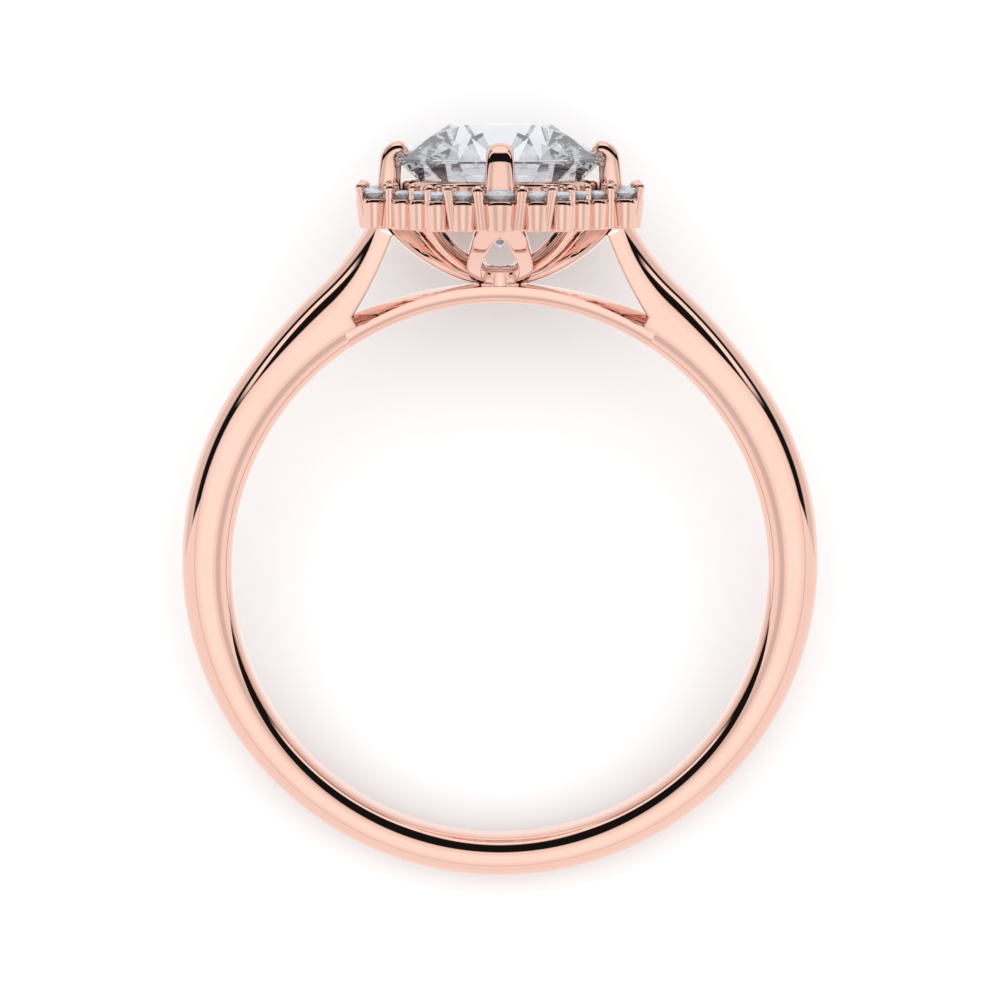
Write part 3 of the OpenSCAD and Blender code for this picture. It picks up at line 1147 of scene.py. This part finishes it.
@dataclass
class Claws:
    """The four claws that hold the centre stone.

    A shaft leans inwards up to a bend and reaches over the stone. Low down it is squared and
    deeper on the inner side, where the stone sits on it. It gets round, and narrower by the
    taper, over the last round_rows rows of its path.
    """

    sizes: RingSizes
    gold: Material
    middle: float = 3.5
    foot_in: float = 0.1
    lean: float = 0.17
    half_w: float = 0.45
    half_t: float = 0.28
    seat_t: float = 0.16
    bend_r: float = 0.36
    top_over: float = 0.66
    reach: float = 0.38
    corners: tuple[float, float] = (0.55, 0.9)
    taper: float = 0.1
    tip_drop: float = 0.05
    round_rows: int = 10
    steps: int = 8
    crease: float = 50.0

    def path(self) -> list[Vector]:
        """Gives the middle line of the back claw, from its foot to its tip.

        Returns:
            The points.
        """
        s = self.sizes
        foot = s.halo_z + self.foot_in
        bend = self.bend_r
        top = s.girdle_z + self.top_over - self.half_t
        points = []
        for i in range(self.steps + 1):
            share = i / self.steps
            z = foot + (top - bend - foot) * share
            points.append(Vector((0, self.middle + self.lean * (1 - share), z)))
        for i in range(1, self.steps + 1):
            angle = pi / 2 * i / self.steps
            y = self.middle - bend * (1 - cos(angle))
            points.append(Vector((0, y, top - bend + bend * sin(angle))))
        return points

    def build(self) -> None:
        """Builds the claws."""
        whole = bmesh.new()
        path = self.path()
        last = len(path) - 1
        stretch = path[-1].y - (self.sizes.stone_r - self.reach)

        def point(column: int, row: int) -> Vector:
            """Places one vertex of the claw: its shaft, then its rounded end.

            Args:
                column: Number of the point round the claw.
                row: Number of the path's point, or more past the path's end.

            Returns:
                The point.
            """
            share = max(row - last, 0) / self.steps
            shrink = sqrt(max(1 - share * share, 0.0))
            drop = self.tip_drop * share * share
            spot = path[min(row, last)] - Vector((0, stretch * share, drop))
            ahead = path[min(row + 1, last)] - path[max(min(row, last) - 1, 0)]
            out = Vector((0, ahead.z, -ahead.y)).normalized()
            upper = min(max(1 + (row - last) / self.round_rows, 0.0), 1.0)
            low, high = self.corners
            wide, thick = squared(column, low + (high - low) * upper)
            wide *= self.half_w * (1 - self.taper * upper) * shrink
            thick *= shrink * (self.half_t + (self.seat_t * (1 - upper) if thick < 0 else 0))
            return spot + Vector((wide, 0, 0)) + out * thick

        for turn in QUARTERS:
            merged(whole, close_up(sheet(ROUND, last + self.steps, point)), turn)
        finished(whole, "claws", self.gold, self.crease)


def dress_stones() -> None:
    """Gives the stones their materials, and keeps their solids' facets."""
    large = Diamond().build()
    small = Diamond("small_cut_diamond", clear=0.5, glitter=0.8).build()
    solids = {name: solid for name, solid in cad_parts.items() if name != "gold_ring"}
    for name, solid in solids.items():
        solid.data.materials.clear()
        solid.data.materials.append(large if name == "centre_stone" else small)
    LOG.info("%s: %d stones", Slot.STONE.value, len(solids))


@dataclass
class Studio:
    """A pale table, soft panels all round and the camera.

    The camera is camera_mm from a point at aim_z of the ring's middle line, elevation degrees
    towards the head from straight ahead, and sees view_mm across there. A Fade is where a
    panel's edge starts, where it ends, and the panel's strength.
    """

    sizes: RingSizes
    table_half: float = 0.6
    camera_mm: float = 140.0
    elevation: float = 6.0
    aim_z: float = 2.21
    view_mm: float = 31.7
    lower: Fade = (0.06, 0.03, 1.25)
    lower_slant: float = 0.25
    upper: Fade = (0.86, 0.93, 1.4)
    rear: Fade = (0.08, 0.2, 0.98)
    rear_core: Fade = (0.5, 0.6, 1.25)
    tube_front: Fade = (-0.36, -0.3, 1.4)
    tube_back: Fade = (-0.05, -0.12, 1.0)
    tube_foot: Fade = (0.42, 0.55, 1.0)
    front: Fade = (-0.05, -0.2, 1.0)
    front_z: float = -0.1
    core: Fade = (0.2, 0.1, 0.22)
    gap_inside: Fade = (0.28, 0.42, 0.35)
    gap_outside: Fade = (0.85, 0.65, 1.0)
    gold_least: float = 0.012
    stone_least: float = 0.8
    table_light: float = 1.75

    def build_table(self) -> None:
        """Builds the table top."""
        bm = bmesh.new()
        bmesh.ops.create_grid(bm, x_segments=1, y_segments=1, size=self.table_half)
        mat = bpy.data.materials.new("white_lacquer")
        mat.use_nodes = True
        shader = mat.node_tree.nodes["Principled BSDF"]
        shader.inputs["Base Color"].default_value = linear("F7F7F7")
        shader.inputs["Roughness"].default_value = 0.6
        table = placed(bm, "table", mat)
        # Gold and stone show the studio's panels instead of the table, as in a light tent
        table.visible_glossy = False
        table.visible_transmission = False

    def build_light(self) -> None:
        """Surrounds the ring with soft panels, dark above the horizon at the sides."""
        world = bpy.data.worlds.new("studio")
        bpy.context.scene.world = world
        world.use_nodes = True
        tree = world.node_tree
        tree.nodes.clear()
        place = add_node(tree, "TexCoord").outputs["Generated"]
        # Turned back to the upright frame, so that the panels stand as for an upright ring
        turn = (pi / 2 - self.sizes.tilt, 0, 0)
        upright = add_node(tree, "Mapping", {"Vector": place, "Rotation": turn})
        x, y, z = add_node(tree, "SeparateXYZ", {0: upright.outputs[0]}).outputs

        def ramp(socket: Socket, fade: Fade) -> Socket:
            """Rises smoothly from 0 to a fade's strength between its two values of a socket."""
            inputs = {"Value": socket, **dict(zip(("From Min", "From Max", "To Max"), fade))}
            return add_node(tree, "MapRange", inputs, interpolation_type="SMOOTHSTEP").outputs[0]

        def joined(kind: str, a: Socket, b: Socket | float) -> Socket:
            """Joins a socket with another one or a number by a Math operation."""
            return add_node(tree, "Math", {0: a, 1: b}, operation=kind).outputs[0]

        # The front edge of the lower panel stands higher than its sides
        leaned = joined("ADD", joined("MULTIPLY", y, self.lower_slant), z)
        below = ramp(leaned, self.lower)
        above = ramp(z, self.upper)
        behind = joined("MAXIMUM", ramp(y, self.rear), ramp(y, self.rear_core))
        tube = joined("MULTIPLY", ramp(y, self.tube_front), ramp(y, self.tube_back))
        tube = joined("MULTIPLY", tube, ramp(z, self.tube_foot))
        panels = joined("MAXIMUM", joined("MAXIMUM", below, above), behind)
        # Circles round the ring's own front, a little below it: a bright middle, then a dull one
        off_z = joined("SUBTRACT", z, self.front_z)
        spread = add_node(tree, "CombineXYZ", {"X": x, "Z": off_z})
        length = add_node(tree, "VectorMath", {0: spread.outputs[0]}, operation="LENGTH")
        apart = length.outputs["Value"]
        front = ramp(y, self.front)
        core = joined("MULTIPLY", ramp(apart, self.core), front)
        gap = joined("MULTIPLY", ramp(apart, self.gap_inside), ramp(apart, self.gap_outside))
        gap = joined("MULTIPLY", gap, front)
        gold_light = joined("SUBTRACT", joined("ADD", joined("MAXIMUM", panels, tube), core), gap)
        gold_light = joined("MAXIMUM", gold_light, self.gold_least)
        stone_light = joined("MAXIMUM", panels, self.stone_least)
        paths = add_node(tree, "LightPath")

        def chosen(ray: str, otherwise: Socket, light: Socket | float) -> Socket:
            """Takes a light where a kind of ray meets the world, and another one otherwise."""
            inputs = {0: paths.outputs[ray], 2: otherwise, 3: light}
            return add_node(tree, "Mix", inputs).outputs[0]

        light = chosen("Is Transmission Ray", gold_light, stone_light)
        light = chosen("Is Diffuse Ray", light, self.table_light)
        sky = add_node(tree, "Background", {"Strength": light})
        add_node(tree, "OutputWorld", {"Surface": sky.outputs[0]})

    def build_camera(self) -> None:
        """Sets the camera at the photograph's angle to the ring."""
        rise = radians(self.elevation)
        aim = Vector((0, 0, self.aim_z))
        away = Vector((0, -cos(rise), sin(rise)))
        eye = LAID @ (aim + away * self.camera_mm)
        back = (eye - LAID @ aim).normalized()
        up = (LAID.to_3x3() @ Vector((0, 0, 1))).normalized()
        right = up.cross(back).normalized()
        up = back.cross(right)
        data = bpy.data.cameras.new("camera")
        data.sensor_width = 36.0
        data.lens = data.sensor_width * self.camera_mm / self.view_mm
        data.clip_start = 0.001
        camera = bpy.data.objects.new("camera", data)
        turn = Matrix((right, up, back)).transposed().to_4x4()
        camera.matrix_world = Matrix.Translation(eye) @ turn
        bpy.context.scene.collection.objects.link(camera)
        bpy.context.scene.camera = camera


def main() -> None:
    """Builds the ring, the table, the light and the camera."""
    logging.basicConfig(level=logging.INFO, format="%(message)s")
    bpy.context.scene.view_settings.view_transform = "Standard"
    gold = RoseGold().build()
    shank = Shank(RING, gold)
    shank.build_band()
    shank.build_bridge()
    Gallery(RING, gold).build()
    halo = Halo(RING, gold)
    halo.build_cups()
    halo.build_posts()
    halo.build_rail()
    Claws(RING, gold).build()
    dress_stones()
    studio = Studio(RING)
    studio.build_table()
    studio.build_light()
    studio.build_camera()


if __name__ == "__main__":
    main()
